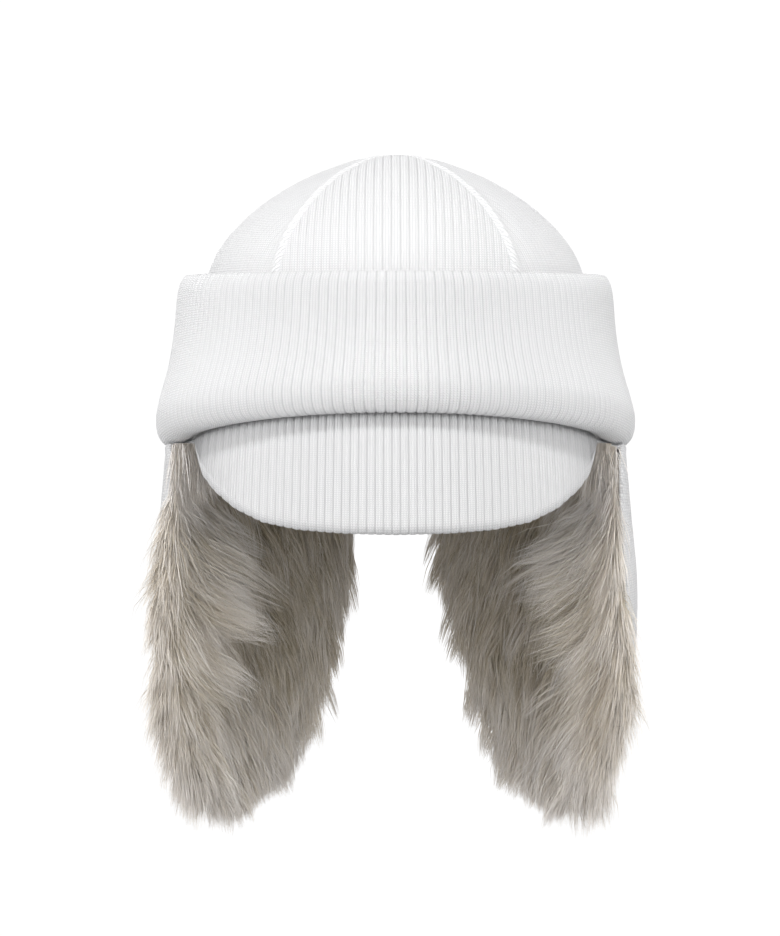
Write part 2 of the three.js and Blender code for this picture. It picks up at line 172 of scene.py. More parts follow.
def spline(rows, at):
    """The rows of a table as a smooth curve: at counts rows, and may fall between them."""
    at = np.clip(np.asarray(at, float), 0, len(rows) - 1)
    k = np.clip(np.floor(at).astype(int), 0, len(rows) - 2)
    t = (at - k)[..., None]
    before = rows[np.maximum(k - 1, 0)]
    start, end = rows[k], rows[k + 1]
    after = rows[np.minimum(k + 2, len(rows) - 1)]
    leave, arrive = (end - before) / 2, (after - start) / 2
    return (
        (2 * t**3 - 3 * t**2 + 1) * start
        + (t**3 - 2 * t**2 + t) * leave
        + (3 * t**2 - 2 * t**3) * end
        + (t**3 - t**2) * arrive
    )


def columns_of(table):
    """A table's columns, each still standing upright."""
    return np.split(table, table.shape[1], axis=1)


def above(value, level, fade):
    """0 up to a level and 1 from a fade above it."""
    return np.clip((value - level) / fade, 0, 1)


def below(value, level, fade):
    """0 down to a level and 1 from a fade below it."""
    return np.clip((level - value) / fade, 0, 1)


def bell(distance, width):
    """1 at no distance, and nearly 0 from two widths on."""
    return np.exp(-((distance / width) ** 2))


def groove(across, width=0.15):
    """0 on a rib and 1 in the groove between two. across counts ribs."""
    return bell(np.abs(across - np.round(across)), width)


def fold_z(angle):
    """The level of the cuff's folded edge."""
    c = np.cos(angle)
    front = FOLD_FRONT_RISE * np.maximum(c, 0) ** FOLD_POWER
    return FOLD_SIDE_Z + front + FOLD_BACK_DROP * np.minimum(c, 0)


def on_ellipse(a, b, angle, z, shift=0.0):
    """Points of level ellipses: a is half their width, b half their depth, shift their way back."""
    x, y = a * np.sin(angle), shift - b * np.cos(angle)
    return np.stack(np.broadcast_arrays(x, y, z), -1)


def outward(a, b, angle):
    """The level direction square to an ellipse."""
    n = np.stack(np.broadcast_arrays(b * np.sin(angle), -a * np.cos(angle), 0.0), -1)
    return n / np.linalg.norm(n, axis=-1, keepdims=True)


def unit(v):
    return v / (np.linalg.norm(v, axis=-1, keepdims=True) + 1e-12)


def grid_faces(rows, columns, wrap_rows=False, wrap_columns=False):
    """Quads between the points of a grid stored row by row."""
    r = np.arange(rows if wrap_rows else rows - 1)
    c = np.arange(columns if wrap_columns else columns - 1)
    r, c = np.meshgrid(r, c, indexing="ij")
    r2, c2 = (r + 1) % rows, (c + 1) % columns
    quads = np.stack(
        [r * columns + c, r * columns + c2, r2 * columns + c2, r2 * columns + c], -1
    )
    return quads.reshape(-1, 4)


def closed_sheet(outer, inner):
    """The points and faces of a sheet with an outer and an inner side, closed all round. Both are
    grids of points stored row by row."""
    rows, columns = outer.shape[:2]
    points = np.concatenate([outer, inner[::-1]]).reshape(-1, 3)
    r = np.arange(rows - 1)
    mirror = 2 * rows - 1 - r
    ends = []
    for column in (0, columns - 1):
        corners = [r, r + 1, mirror - 1, mirror]
        ends.append(np.stack([row * columns + column for row in corners], -1))
    around = grid_faces(2 * rows, columns, wrap_rows=True)
    return points, np.concatenate([around, ends[0], ends[1][:, ::-1]])


def mirrored(side, points, faces):
    """A piece made for the wearer's left: as it is at side 1, its mirror image at side -1."""
    return points * (side, 1, 1), faces if side > 0 else faces[:, ::-1]


def per_corner(across, up, faces):
    """The UV pair at each corner of each face, from values at the points."""
    pairs = np.stack(np.broadcast_arrays(across, up), -1)
    return pairs.reshape(-1, 2)[faces]


def sheet_uv(across, up, faces):
    """The same for a closed sheet, whose two sides have the same values."""
    pairs = np.stack(np.broadcast_arrays(across, up), -1)
    return np.concatenate([pairs, pairs[::-1]]).reshape(-1, 2)[faces]


def grid_uv(across, up):
    """The UV pairs of each quad of a grid, from the values on its lines. Where the grid closes on
    itself, the list ends with one more, for the first line met again."""
    r, c = np.meshgrid(np.arange(len(up) - 1), np.arange(len(across) - 1), indexing="ij")
    corners = [(c, r), (c + 1, r), (c + 1, r + 1), (c, r + 1)]
    pairs = [np.stack([across[column], up[row]], -1) for column, row in corners]
    return np.stack(pairs, -2).reshape(-1, 4, 2)


UV_NAME = "knit"


def make_object(name, points, faces, uv, material, replaces=()):
    """A mesh object riding on the part. points are millimetres about the middle of the head
    opening; uv has a pair for each corner of each face."""
    mesh = bpy.data.meshes.new(name)
    placed = np.asarray(points, float).reshape(-1, 3) * MM
    placed[:, 1] -= BEHIND_CENTRE * MM
    mesh.vertices.add(len(placed))
    mesh.vertices.foreach_set("co", placed.ravel())
    mesh.loops.add(faces.size)
    mesh.loops.foreach_set("vertex_index", faces.ravel().astype(np.int32))
    mesh.polygons.add(len(faces))
    starts = np.arange(len(faces), dtype=np.int32) * faces.shape[1]
    mesh.polygons.foreach_set("loop_start", starts)
    layer = mesh.uv_layers.new(name=UV_NAME)
    layer.data.foreach_set("uv", np.asarray(uv, float).ravel())
    mesh.polygons.foreach_set("use_smooth", np.full(len(faces), True))
    mesh.update()
    mesh.validate()
    mesh.materials.append(material)
    piece = bpy.data.objects.new(name, mesh)
    bpy.context.scene.collection.objects.link(piece)
    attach(piece, "root")
    if replaces:
        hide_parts(*replaces)


class Nodes:
    """Short calls for building a material."""

    def __init__(self, name):
        self.material = bpy.data.materials.new(name)
        self.material.use_nodes = True
        self.tree = self.material.node_tree
        self.shader = self.tree.nodes["Principled BSDF"]

    def add(self, kind, inputs=(), **settings):
        node = self.tree.nodes.new(kind)
        for key, value in settings.items():
            setattr(node, key, value)
        for key, value in dict(inputs).items():
            self.put(node.inputs[key], value)
        return node

    def put(self, socket, value):
        if isinstance(value, bpy.types.NodeSocket):
            self.tree.links.new(value, socket)
        else:
            socket.default_value = value

    def math(self, operation, *values):
        node = self.add("ShaderNodeMath", operation=operation)
        for socket, value in zip(node.inputs, values):
            self.put(socket, value)
        return node.outputs[0]

    def mix(self, factor, low, high, blend="MIX"):
        inputs = {"Factor": factor, "A": low, "B": high}
        node = self.add("ShaderNodeMix", inputs, data_type="RGBA", blend_type=blend)
        return node.outputs["Result"]

    def ramp(self, factor, stops):
        node = self.add("ShaderNodeValToRGB", {"Fac": factor})
        elements = node.color_ramp.elements
        while len(elements) < len(stops):
            elements.new(0.5)
        for element, (position, colour) in zip(elements, stops):
            element.position = position
            element.color = (*colour, 1)
        return node.outputs["Color"]

    def uv(self):
        place = self.add("ShaderNodeUVMap", uv_map=UV_NAME).outputs["UV"]
        split = self.add("ShaderNodeSeparateXYZ", {"Vector": place})
        return split.outputs["X"], split.outputs["Y"]

    def finish(self, inputs):
        """Gives the shader its inputs and returns the material."""
        for key, value in inputs.items():
            self.put(self.shader.inputs[key], value)
        return self.material


COURSE = 1.1  # height of one row of stitches
WALES_PER_RIB = 3.0  # columns of loops
LOOP_LEAN = 1.3  # courses that a loop's legs rise from its middle to its side
LINE_REACH = 0.11  # ribs from a groove's middle to where its dark line has ended

# The yarn's shades: between the loops, on a loop, in the line between two ribs, and worn. Between
# the loops and in the line between two ribs they are painted shade for those hollows.
PAINTED_GAP_SHADE, ON_LOOP = (0.74, 0.74, 0.75), (0.98, 0.98, 0.985)
PAINTED_GROOVE_SHADE, WORN = (0.76, 0.76, 0.77), (0.88, 0.88, 0.90)


def knit_material(name, painted_shade_factor):
    """White yarn. The UV counts ribs across, with a groove at each whole number, and courses up.
    Between the loops and in the grooves the colour is darker, as painted shade.
    painted_shade_factor darkens it all evenly, as painted shade where it is below 1."""
    n = Nodes(name)
    ribs, courses = n.uv()
    # Each loop is a pair of legs that lean up to its sides.
    wales = n.math("FRACT", n.math("MULTIPLY", ribs, WALES_PER_RIB))
    aside = n.math("ABSOLUTE", n.math("SUBTRACT", wales, 0.5))
    along = n.math("FRACT", n.math("SUBTRACT", courses, n.math("MULTIPLY", aside, LOOP_LEAN)))
    loop = n.math("SINE", n.math("MULTIPLY", along, math.pi))
    wale = n.math("SUBTRACT", 1.0, n.math("POWER", n.math("MULTIPLY", aside, 2.0), 3.0))
    stitch = n.math("MULTIPLY", loop, wale)
    # A rib is 0 in the line beside it and 1 on top.
    to_groove = n.math("SUBTRACT", n.math("FRACT", n.math("ADD", ribs, 0.5)), 0.5)
    rib = n.add(
        "ShaderNodeMapRange",
        {"Value": n.math("ABSOLUTE", to_groove), "From Min": 0.0, "From Max": LINE_REACH},
        interpolation_type="SMOOTHSTEP",
    ).outputs["Result"]
    position = n.add("ShaderNodeTexCoord").outputs["Object"]
    fuzz = n.add("ShaderNodeTexNoise", {"Scale": 1500.0, "Detail": 3.0, "Vector": position})
    rough = n.math("MULTIPLY", fuzz.outputs["Fac"], 0.5)
    height = n.math("ADD", n.math("ADD", stitch, n.math("MULTIPLY", rib, 0.5)), rough)
    bump = n.add("ShaderNodeBump", {"Strength": 0.8, "Distance": 0.0005, "Height": height})
    mottle = n.add("ShaderNodeTexNoise", {"Scale": 24.0, "Detail": 4.0, "Vector": position})
    between, on_loop, line, worn = [
        (*(painted_shade_factor * part for part in shade), 1) for shade in (PAINTED_GAP_SHADE, ON_LOOP, PAINTED_GROOVE_SHADE, WORN)
    ]
    # The loops cross the line between two ribs here and there.
    crossed = n.math("MAXIMUM", rib, n.math("MULTIPLY", loop, 0.75))
    # The darker line between ribs and the darker gaps between loops are painted shade.
    lined = n.mix(crossed, line, n.mix(stitch, between, on_loop))
    colour = n.mix(n.math("MULTIPLY", mottle.outputs["Fac"], 0.10), lined, worn)
    return n.finish(
        {
            "Base Color": colour,
            "Normal": bump.outputs["Normal"],
            "Roughness": 0.92,
            "Sheen Weight": 0.15,
            "Sheen Roughness": 0.6,
            "Specular IOR Level": 0.2,
        }
    )


# Both as places on a ramp and their colours.
ROOT_TO_TIP = ((0.0, (0.62, 0.54, 0.38)), (0.45, (0.90, 0.85, 0.78)), (0.95, (0.92, 0.89, 0.87)))
DARK_TO_PALE_HAIR = ((0.0, (0.52, 0.47, 0.35)), (0.5, (0.90, 0.87, 0.81)), (1.0, (1, 1, 1)))


def fur_material(name):
    """Pile. The UV counts a hair's shade across and the way from its root to its tip up; both carry
    some painted shade and painted light.
    """
    n = Nodes(name)
    shade, along = n.uv()
    tinted = n.mix(1.0, n.ramp(along, ROOT_TO_TIP), n.ramp(shade, DARK_TO_PALE_HAIR), "MULTIPLY")
    return n.finish(
        {
            "Base Color": tinted,
            "Roughness": 0.55,
            "Specular IOR Level": 0.35,
            "Sheen Weight": 0.2,
        }
    )


KNIT = knit_material("white_rib_knit", 1.0)
# The peak's copy of the white knit is darker all over: painted shade for the cuff's shadow over it.
PEAK_KNIT_PAINTED_SHADE = knit_material("white_knit_painted_shade", 0.88)
FUR = fur_material("grey_beige_fur")

GORE_ROWS, GORE_COLUMNS = 64, 151
INSIDE_COLUMNS = 90
CROWN_TOP_DEPTH, CROWN_DEPTH_GAIN = 1.15, 0.05  # depth over width at the top, and its gain below
GAINED_WIDTH = 75  # the half width that has the whole gain
CENTRED_WIDTH = 84.6  # the half width from which the rows share the rim's centre
FRONT_GORE_GROOVE, SIDE_GORE_GROOVE = 0.45, 0.12  # depths of the grooves between ribs
SEAM_DEPTH, SEAM_REACH = 0.4, 0.8

# On a seam's side away from the front, the ribs that end there twist over it like a cord, beside a
# shallow dent. These gores have a cord at their start or end; the front gore is 0.
CORD_AT_START, CORD_AT_END = (1, 2, 3), (3, 4, 5)
CORD_WIDTH, CORD_REACH, CORD_CUT = 4.8, 1.9, 1.6
CORD_TURN, CORD_SLANT = 5.2, 5.6  # a turn's length down the seam and across it
DENT_FROM_SEAM, DENT_REACH, DENT_DEPTH = 9, 4.5, 1.1
BETWEEN_LOOPS = 0.78  # the part of a course where a rib's line runs on unbroken


def crown_rows():
    """The crown's rows from its top to its rim, each value as a column: half width a, half depth b,
    z, the centre's shift back, the way down from the top and the slope."""
    profile = spline(CROWN_PROFILE, np.linspace(1, len(CROWN_PROFILE) - 1, GORE_ROWS))
    a, z = np.maximum(profile[:, 0], 0.4), profile[:, 1]
    values = {
        "a": a,
        "b": a * (CROWN_TOP_DEPTH + CROWN_DEPTH_GAIN * np.minimum(1, a / GAINED_WIDTH)),
        "z": z,
        "shift": BEHIND_CENTRE * np.maximum(0, 1 - (a / CENTRED_WIDTH) ** 2),
        "down": np.concatenate([[0], np.cumsum(np.hypot(np.diff(a), np.diff(z)))]),
        "slope": np.arctan2(np.gradient(z), np.gradient(a)),
    }
    return SimpleNamespace(**{key: value[:, None] for key, value in values.items()})


def gore(rows, k):
    """The points, faces and UV of a gore. Its ribs run beside its middle line and end at its
    seams."""
    seams = (*SEAMS_DEG, SEAMS_DEG[0] + 360)
    start, end = seams[k : k + 2]
    middle, half = math.radians((start + end) / 2), math.radians((end - start) / 2)
    turn = np.linspace(-half, half, GORE_COLUMNS)[None, :]
    reach = np.hypot(rows.a * math.cos(middle), rows.b * math.sin(middle))
    from_start, from_end = (half + turn) * reach, (half - turn) * reach
    across = turn * reach / RIB_PITCH + 0.5
    fade = np.clip(rows.a / 14, 0.15, 1)
    sunk = (FRONT_GORE_GROOVE if k == 0 else SIDE_GORE_GROOVE) * groove(across) * fade
    faces = grid_faces(GORE_ROWS, GORE_COLUMNS)
    uv = per_corner(across, rows.down / COURSE, faces)
    for near in [from_start] * (k in CORD_AT_START) + [from_end] * (k in CORD_AT_END):
        twist = rows.down / CORD_TURN - near / CORD_SLANT
        cord = bell(near - CORD_WIDTH / 2, CORD_REACH) * np.minimum(1, rows.a / 25)
        sunk = sunk - cord * (1.0 - CORD_CUT * groove(twist, 0.2))
        dent = bell(near - DENT_FROM_SEAM, DENT_REACH) * np.minimum(1, rows.a / 30)
        sunk = sunk + DENT_DEPTH * dent
        # On the cord the darker line between ribs, painted shade, draws the turns as painted shadow
        # between them.
        on_cord = near.ravel()[faces].mean(axis=1) < CORD_WIDTH
        uv[on_cord] = per_corner(twist, BETWEEN_LOOPS, faces)[on_cord]
    # At the seam itself both gores are sunk alike, so that they meet.
    seam = bell(np.minimum(from_start, from_end), SEAM_REACH)
    sunk = sunk * (1 - seam) + SEAM_DEPTH * seam * np.minimum(1, rows.a / 8)
    angle = middle + turn
    surface = on_ellipse(rows.a, rows.b, angle, rows.z, rows.shift)
    normal = outward(rows.a, rows.b, angle) * -np.sin(rows.slope)[..., None]
    normal[..., 2] += np.cos(rows.slope)
    return surface - normal * sunk[..., None], faces, uv


def crown_inside(rows):
    """The points, faces and UV of the crown's plain inner side."""
    angle = np.linspace(0, 2 * math.pi, INSIDE_COLUMNS, endpoint=False)[None, :]
    inwards, lower = KNIT_WALL * -np.sin(rows.slope), KNIT_WALL * np.cos(rows.slope)
    a, b = np.maximum(rows.a - inwards, 0.2), np.maximum(rows.b - inwards, 0.2)
    points = on_ellipse(a, b, angle, rows.z - lower, rows.shift)
    faces = grid_faces(GORE_ROWS, INSIDE_COLUMNS, wrap_columns=True)[:, ::-1]
    uv = per_corner(angle * CUFF_RIBS / (2 * math.pi), rows.down / COURSE, faces)
    return points, faces, uv


def make_crown():
    """Six gores and the inner side, in one mesh."""
    rows = crown_rows()
    sides = [gore(rows, k) for k in range(len(SEAMS_DEG))] + [crown_inside(rows)]
    points, faces, uvs = [], [], []
    count = 0
    for side_points, side_faces, side_uv in sides:
        points.append(side_points.reshape(-1, 3))
        faces.append(side_faces + count)
        uvs.append(side_uv)
        count += len(points[-1])
    points, faces, uv = (np.concatenate(part) for part in (points, faces, uvs))
    make_object("crown_knit", points, faces, uv, KNIT, ["crown"])


CUFF_ROWS = 64
POINTS_PER_CUFF_RIB = 6
CUFF_GROOVE = 0.55

# The soft wall stands a little uneven.
CUFF_WAVES = (
    # height, waves all round, start
    (0.9, 3, 0.6),
    (0.6, 7, 2.0),
)


def make_cuff():
    """The turned-up cuff: its ribs run round the fold and over the lip."""
    columns = CUFF_RIBS * POINTS_PER_CUFF_RIB
    closed = np.concatenate([CUFF_SECTION, CUFF_SECTION[:1]])
    rows_at = np.linspace(0, len(closed) - 1, CUFF_ROWS, endpoint=False)
    out, share, rise = columns_of(spline(closed, rows_at))
    angle = np.linspace(0, 2 * math.pi, columns, endpoint=False)[None, :]
    low = fold_z(angle)
    z = low + share * (CUFF_TOP_Z - low) + rise
    wave = sum(height * np.sin(waves * angle + start) for height, waves, start in CUFF_WAVES)
    out = out + wave * np.clip(share * 1.4, 0, 1) * np.clip(1.3 - share, 0, 1)
    a = RIM_HALF_WIDTH + out
    b = RIM_HALF_DEPTH + out * CUFF_DEPTH_SHARE
    # The section's own outward direction, for the ribs.
    out_step, z_step = np.gradient(out, axis=0), np.gradient(z, axis=0)
    length = np.hypot(out_step, z_step) + 1e-9
    normal = outward(a, b, angle) * (z_step / length)[..., None]
    normal[..., 2] -= out_step / length
    ribs = groove(angle * CUFF_RIBS / (2 * math.pi), 0.12)
    points = on_ellipse(a, b, angle, z) - normal * (CUFF_GROOVE * ribs)[..., None]
    faces = grid_faces(CUFF_ROWS, columns, wrap_rows=True, wrap_columns=True)
    run = np.concatenate([[0], np.cumsum(length.mean(axis=1))])
    uv = grid_uv(np.arange(columns + 1) / POINTS_PER_CUFF_RIB, run / COURSE)
    make_object("cuff_knit", points, faces, uv, KNIT, ["cuff"])


PEAK_COLUMNS = 52 * 7 + 1  # about seven steps to each of its 52 ribs
PEAK_SIDE_ROWS, PEAK_EDGE_ROWS = 44, 10
PEAK_EDGE_FROM, PEAK_EDGE_SHARE = 0.955, 0.045  # where its round edge begins, and its part
PEAK_GROOVE = 0.6
PEAK_PLUMP = 1.6
PEAK_SHORT = 0.05  # what it ends short of its half width, where its outline stands upright


def peak_surface(x, share):
    """The peak's upper side at a distance across and a share of the way from root to edge."""
    a, b = RIM_HALF_WIDTH + 1, RIM_HALF_DEPTH - 1
    root_y = -b * np.sqrt(1 - (x / a) ** 2)
    corner_y = -b * math.sqrt(1 - (PEAK_HALF_WIDTH / a) ** 2)
    across = np.minimum(1, np.abs(x) / PEAK_HALF_WIDTH)
    reach = (1 - across**PEAK_OUTLINE_POWER) ** (1 / PEAK_OUTLINE_POWER)
    edge_y = corner_y + reach * (PEAK_FRONT_Y - corner_y)
    root_z = fold_z(np.arcsin(x / a)) + PEAK_ROOT_RISE
    edge_z = np.interp(np.abs(x), PEAK_EDGE[:, 0], PEAK_EDGE[:, 1])
    bent = np.maximum(share, 0) ** PEAK_BEND
    y = root_y + (edge_y - root_y) * share
    z = root_z + (edge_z - root_z) * bent
    return np.stack(np.broadcast_arrays(x, y, z), -1)


def peak_normal(x, share):
    """The direction square to the peak's upper side, seen from the side."""
    step = 0.02
    along = peak_surface(x, share + step) - peak_surface(x, share - step)
    normal = np.stack([along[..., 0] * 0, along[..., 2], -along[..., 1]], -1)
    return normal / (np.linalg.norm(normal, axis=-1, keepdims=True) + 1e-9)


def make_peak():
    """A soft ribbed peak, a little plump, with a round edge."""
    end = PEAK_HALF_WIDTH - PEAK_SHORT
    x = np.linspace(-end, end, PEAK_COLUMNS)[None, :]
    # Along the upper side, round the edge and back below, in fewer rows.
    top = np.linspace(0, PEAK_EDGE_FROM, PEAK_SIDE_ROWS)
    turn = np.linspace(0, math.pi, PEAK_EDGE_ROWS)[1:-1]
    under = top[::-3]
    half = PEAK_THICK / 2
    share = np.concatenate([top, PEAK_EDGE_FROM + PEAK_EDGE_SHARE * np.sin(turn), under])[:, None]
    sunk = np.concatenate([top * 0, half * (1 - np.cos(turn)), under * 0 + 2 * half])[:, None]
    full = np.clip((PEAK_HALF_WIDTH - np.abs(x)) / 6, 0.05, 1)
    plump = PEAK_PLUMP * np.sin(math.pi * np.clip(share, 0, 1))
    plump = plump * np.cos(x / PEAK_HALF_WIDTH * 1.4)
    facing = np.sign(half - sunk + 1e-6)
    ribs = groove(x / PEAK_PITCH + 0.5, 0.13) * np.where(sunk <= half * 2 - 0.01, 1, 0.8)
    depth = (sunk + facing * (PEAK_GROOVE * ribs)) * full - plump * full
    points = peak_surface(x, share) - peak_normal(x, share) * depth[..., None]
    faces = grid_faces(len(share), PEAK_COLUMNS, wrap_rows=True)
    steps = np.linalg.norm(np.diff(points[:, PEAK_COLUMNS // 2], axis=0), axis=1)
    run = np.concatenate([[0], np.cumsum(steps)])
    uv = grid_uv(x[0] / PEAK_PITCH + 50.5, np.append(run, run[-1] + 3) / COURSE)
    make_object("peak_knit", points, faces, uv, PEAK_KNIT_PAINTED_SHADE, ["peak"])


def flap_rows(z):
    """The flap's section at each level: half width, half depth, front and back edge angles."""
    levels = FLAP_SECTIONS[:, 0][::-1]
    at = np.interp(z, levels, np.arange(len(levels))[::-1])
    s = spline(FLAP_SECTIONS, at)
    return s[..., 1], s[..., 2], np.radians(s[..., 3]), np.radians(s[..., 4])


def along_fold(angle):
    """How far the cuff's fold is above its level at the sides."""
    return fold_z(angle) - FOLD_SIDE_Z


def flap_point(share, z, depth):
    """A point inside the flap's outer side, and the outward direction there. share counts from its
    front edge to its back edge. The level z counts at the flap's middle: towards the top the rows
    follow the cuff's fold."""
    a, b, front, back = flap_rows(z)
    angle = front + (back - front) * share
    first, second = FLAP_SECTIONS[0, 0], FLAP_SECTIONS[1, 0]
    level = z + along_fold(angle) * above(z, second, first - second)
    out = outward(a, b, angle)
    return on_ellipse(a, b, angle, level) - out * np.asarray(depth)[..., None], out


SHELL_ROWS, SHELL_COLUMNS = 50, 145
SHELL_GROOVE = 0.45
SHELL_MEAN_RADIUS = 102
ROUND_REACH, ROUND_OUTSIDE, ROUND_INSIDE = 1.2, 0.9, 0.6  # how its edges are rounded
TIP_SPAN = 60  # a row's distance to the tip's edge falls from this at the top to nothing


def shell_table():
    """The shell's rows from its shoulder to its tip: z, half width, half depth, front and back edge
    in degrees, inward and down as the way through the wall, and whether the row follows the
    fold."""
    first = FLAP_SECTIONS[0]
    rows = []
    for out, rise, inward, down in SHOULDER:
        half_depth = RIM_HALF_DEPTH + out * SHOULDER_DEPTH_SHARE
        size = (FOLD_SIDE_Z + rise, RIM_HALF_WIDTH + out, half_depth)
        rows.append((*size, *first[3:], inward, down, 1))
    rows.append((*first, 1, 0, 1))
    rows.extend((*row, 1, 0, 0) for row in FLAP_SECTIONS[1:])
    return np.array(rows)


def make_shell(side, name, node):
    """The white knit outside of a flap: a closed sheet, ribbed on its outer side."""
    table = shell_table()
    rows = spline(table, np.linspace(0, len(table) - 1, SHELL_ROWS))
    level, a, b, front, back, inward, down, follows = columns_of(rows)
    front, back = np.radians(front), np.radians(back)
    share = np.linspace(0, 1, SHELL_COLUMNS)[None, :]
    angle = front + (back - front) * share
    through = outward(a, b, angle) * -inward[..., None]
    through[..., 2] = -down
    near = np.minimum(share, 1 - share) * (back - front) * a
    low = np.linspace(1, 0, SHELL_ROWS)[:, None] * TIP_SPAN
    rounded = np.exp(-np.minimum(near, low) / ROUND_REACH)
    around = angle * SHELL_MEAN_RADIUS / RIB_PITCH
    surface = on_ellipse(a, b, angle, level + follows * along_fold(angle))
    outer = surface + through * (SHELL_GROOVE * groove(around) + ROUND_OUTSIDE * rounded)[..., None]
    inner = surface + through * (FLAP_WALL - ROUND_INSIDE * rounded)[..., None]
    points, faces = mirrored(side, *closed_sheet(outer, inner))
    uv = sheet_uv(around, level / -COURSE, faces)
    make_object(name, points, faces, uv, KNIT, [node])


UNDERCOAT_ROWS = UNDERCOAT_COLUMNS = 60
UNDERCOAT_FRONT, UNDERCOAT_BACK = 0.03, 0.98  # its edges, as shares of the flap
UNDERCOAT_TOP, UNDERCOAT_TIP = -133.5, -279
BACKING_DEPTH = FLAP_WALL + FUR_GAP
ROOT_DEPTH = BACKING_DEPTH + 1.0
WHOLE_TURN = 6.3


def make_undercoat(side, name, node, rng):
    """The dense lower pile: a closed lumpy sheet inside the shell."""
    z, share = np.meshgrid(
        np.linspace(UNDERCOAT_TOP, UNDERCOAT_TIP, UNDERCOAT_ROWS),
        np.linspace(UNDERCOAT_FRONT, UNDERCOAT_BACK, UNDERCOAT_COLUMNS),
        indexing="ij",
    )
    lump = np.zeros_like(z)
    for _ in range(26):
        across, up = rng.uniform(-0.12, 0.12, 2)
        lump += np.sin(share * 180 * across * 3 + z * up * 2.4 + rng.uniform(0, WHOLE_TURN))
    lump = lump / 5
    edge = np.minimum(share - UNDERCOAT_FRONT, UNDERCOAT_BACK - share)
    tip = np.maximum(0.1, above(z, -281, 22))
    full = np.sqrt(np.clip(np.clip(edge * 14, 0, 1) * tip, 0, 1))
    under_cuff = above(z, -143, 9) * 6
    inner_depth = ROOT_DEPTH + (5.0 + 1.4 * lump) * full + under_cuff
    outer, _ = flap_point(share, z, np.full_like(z, BACKING_DEPTH))
    inner, _ = flap_point(share, z, inner_depth)
    points, faces = mirrored(side, *closed_sheet(outer, inner))
    uv = sheet_uv(0.5 + 0.1 * lump, 0.25, faces)
    make_object(name, points, faces, uv, FUR, [node])


HAIRS_PER_TUFT = 38
TUFTS_TOP, TUFTS_DROP = -133, 148
HAIRS_TOP, HAIRS_TIP = -133.5, -280.5

# The collar is the hairs in front of the shoulder's end, close under the fold. Each is a range.
COLLAR_DEPTH, COLLAR_Z, COLLAR_LENGTH = (3.8, 13), (-131.8, -129.0), (9, 36)
COLLAR_SHARE = (-0.007, -0.003)

# Along a hair: the shares of its length with points, and half its width at all but its tip.
STATIONS = np.array([0.0, 0.36, 0.70, 1.0])
HALF_HAIR = np.array([0.20, 0.18, 0.11])

# A hair's points are its left side, its right side and its tip.
POINTS_PER_HAIR = 7
HAIR_FACES = np.array([(0, 3, 4), (0, 4, 1), (1, 4, 5), (1, 5, 2), (2, 5, 6)])
ALONG_HAIR = np.concatenate([STATIONS[:3], STATIONS[:3], STATIONS[3:]])
DOWN = np.array([0.0, 0.0, -1.0])


def swirl(rng, share, z):
    """A smooth field from about -1 to 1 over the flap, for the pile's slow changes of direction."""
    value = np.zeros_like(z)
    for _ in range(7):
        across, up = rng.uniform(-0.09, 0.09, 2)
        value += np.sin(share * 165 * across + z * up + rng.uniform(0, WHOLE_TURN))
    return value / 2.6


def root_hairs(rng, count, share_from, share_to):
    """Where each hair is rooted, in tufts spread between two shares of the flap."""
    tufts = count // HAIRS_PER_TUFT
    tuft_share = rng.uniform(share_from, share_to, tufts)
    tuft_z = TUFTS_TOP - TUFTS_DROP * rng.uniform(0, 1, tufts) ** 0.95
    tuft_depth = np.full(tufts, ROOT_DEPTH)
    own = rng.integers(0, tufts, count)
    hung = 0
    if share_from == 0:
        # A quarter of the tufts are a fringe along the front edge, and some of these the collar.
        fringe, hung = tufts // 4, tufts // 16
        tuft_share[:fringe] = rng.uniform(0, 0.03, fringe)
        tuft_depth[:hung] = rng.uniform(*COLLAR_DEPTH, hung)
        tuft_z[:hung] = rng.uniform(*COLLAR_Z, hung)
    collar = own < hung
    z = np.clip(tuft_z[own] + rng.normal(0, 3.6, count), HAIRS_TIP, HAIRS_TOP)
    z = np.where(collar, tuft_z[own], z)
    share = tuft_share[own] + rng.normal(0, 0.017, count)
    share = np.clip(share, max(share_from - 0.02, 0.003), min(share_to + 0.02, 0.992))
    share = np.where(collar, rng.uniform(*COLLAR_SHARE, count), share)
    depth = tuft_depth[own] + rng.normal(0, 0.8, count) * collar
    root, out = flap_point(share, z, depth)
    backward = np.stack([-out[:, 1], out[:, 0], out[:, 2] * 0], -1)
    return SimpleNamespace(
        tufts=tufts, own=own, collar=collar, z=z, share=share, root=root, out=out, backward=backward
    )


def lie_of_hairs(rng, hairs, side):
    """How each hair lies: how near it is to an edge, and how far it is swept, folded over or
    astray. At the front edge the pile folds outwards over the shell: nearly all the way down on
    the wearer's right, low down on the left."""
    z, share, own = hairs.z, hairs.share, hairs.own
    lie = SimpleNamespace()
    lie.at_front = np.clip(1.3 * np.exp(-np.maximum(share, 0) / 0.055), 0, 1)
    lie.at_back = np.exp(-(1 - share) / 0.08)
    lie.at_tip = np.exp(-(z + 281) / 14)
    lie.below_cuff = below(z, -136, 24)
    lie.drift = swirl(rng, share, z)
    lie.rise = swirl(rng, share, z)
    lie.stray = rng.uniform(0, 1, len(own)) < 0.05
    # The front part is combed inwards and back, over a band that narrows towards the tip.
    own_band = rng.normal(0, 0.12, hairs.tufts)[own]
    lie.band = 0.48 - 0.23 * below(z, -175, 85) + 0.05 * lie.drift + own_band
    sweep = below(share, lie.band, 0.24) * (1 - lie.at_front)
    sweep = sweep * above(z, -274, 50) * lie.below_cuff
    lie.sweep = sweep * rng.uniform(0.1, 1.3, hairs.tufts)[own]
    # High up it is combed nearly level, down to a height of each tuft's own.
    lie.crosswise = lie.sweep * np.clip((z + 232 + 120 * own_band) / 40, 0, 1)
    if side < 0:
        over = 0.10 + 0.90 * below(z, -142, 9)
        over = over * (1 - 0.6 * below(z, -236, 30))
    else:
        over = 0.08 + 0.7 * below(z, -184, 30) * above(z, -262, 30)
    lie.over = over * lie.at_front * ~hairs.collar
    return lie


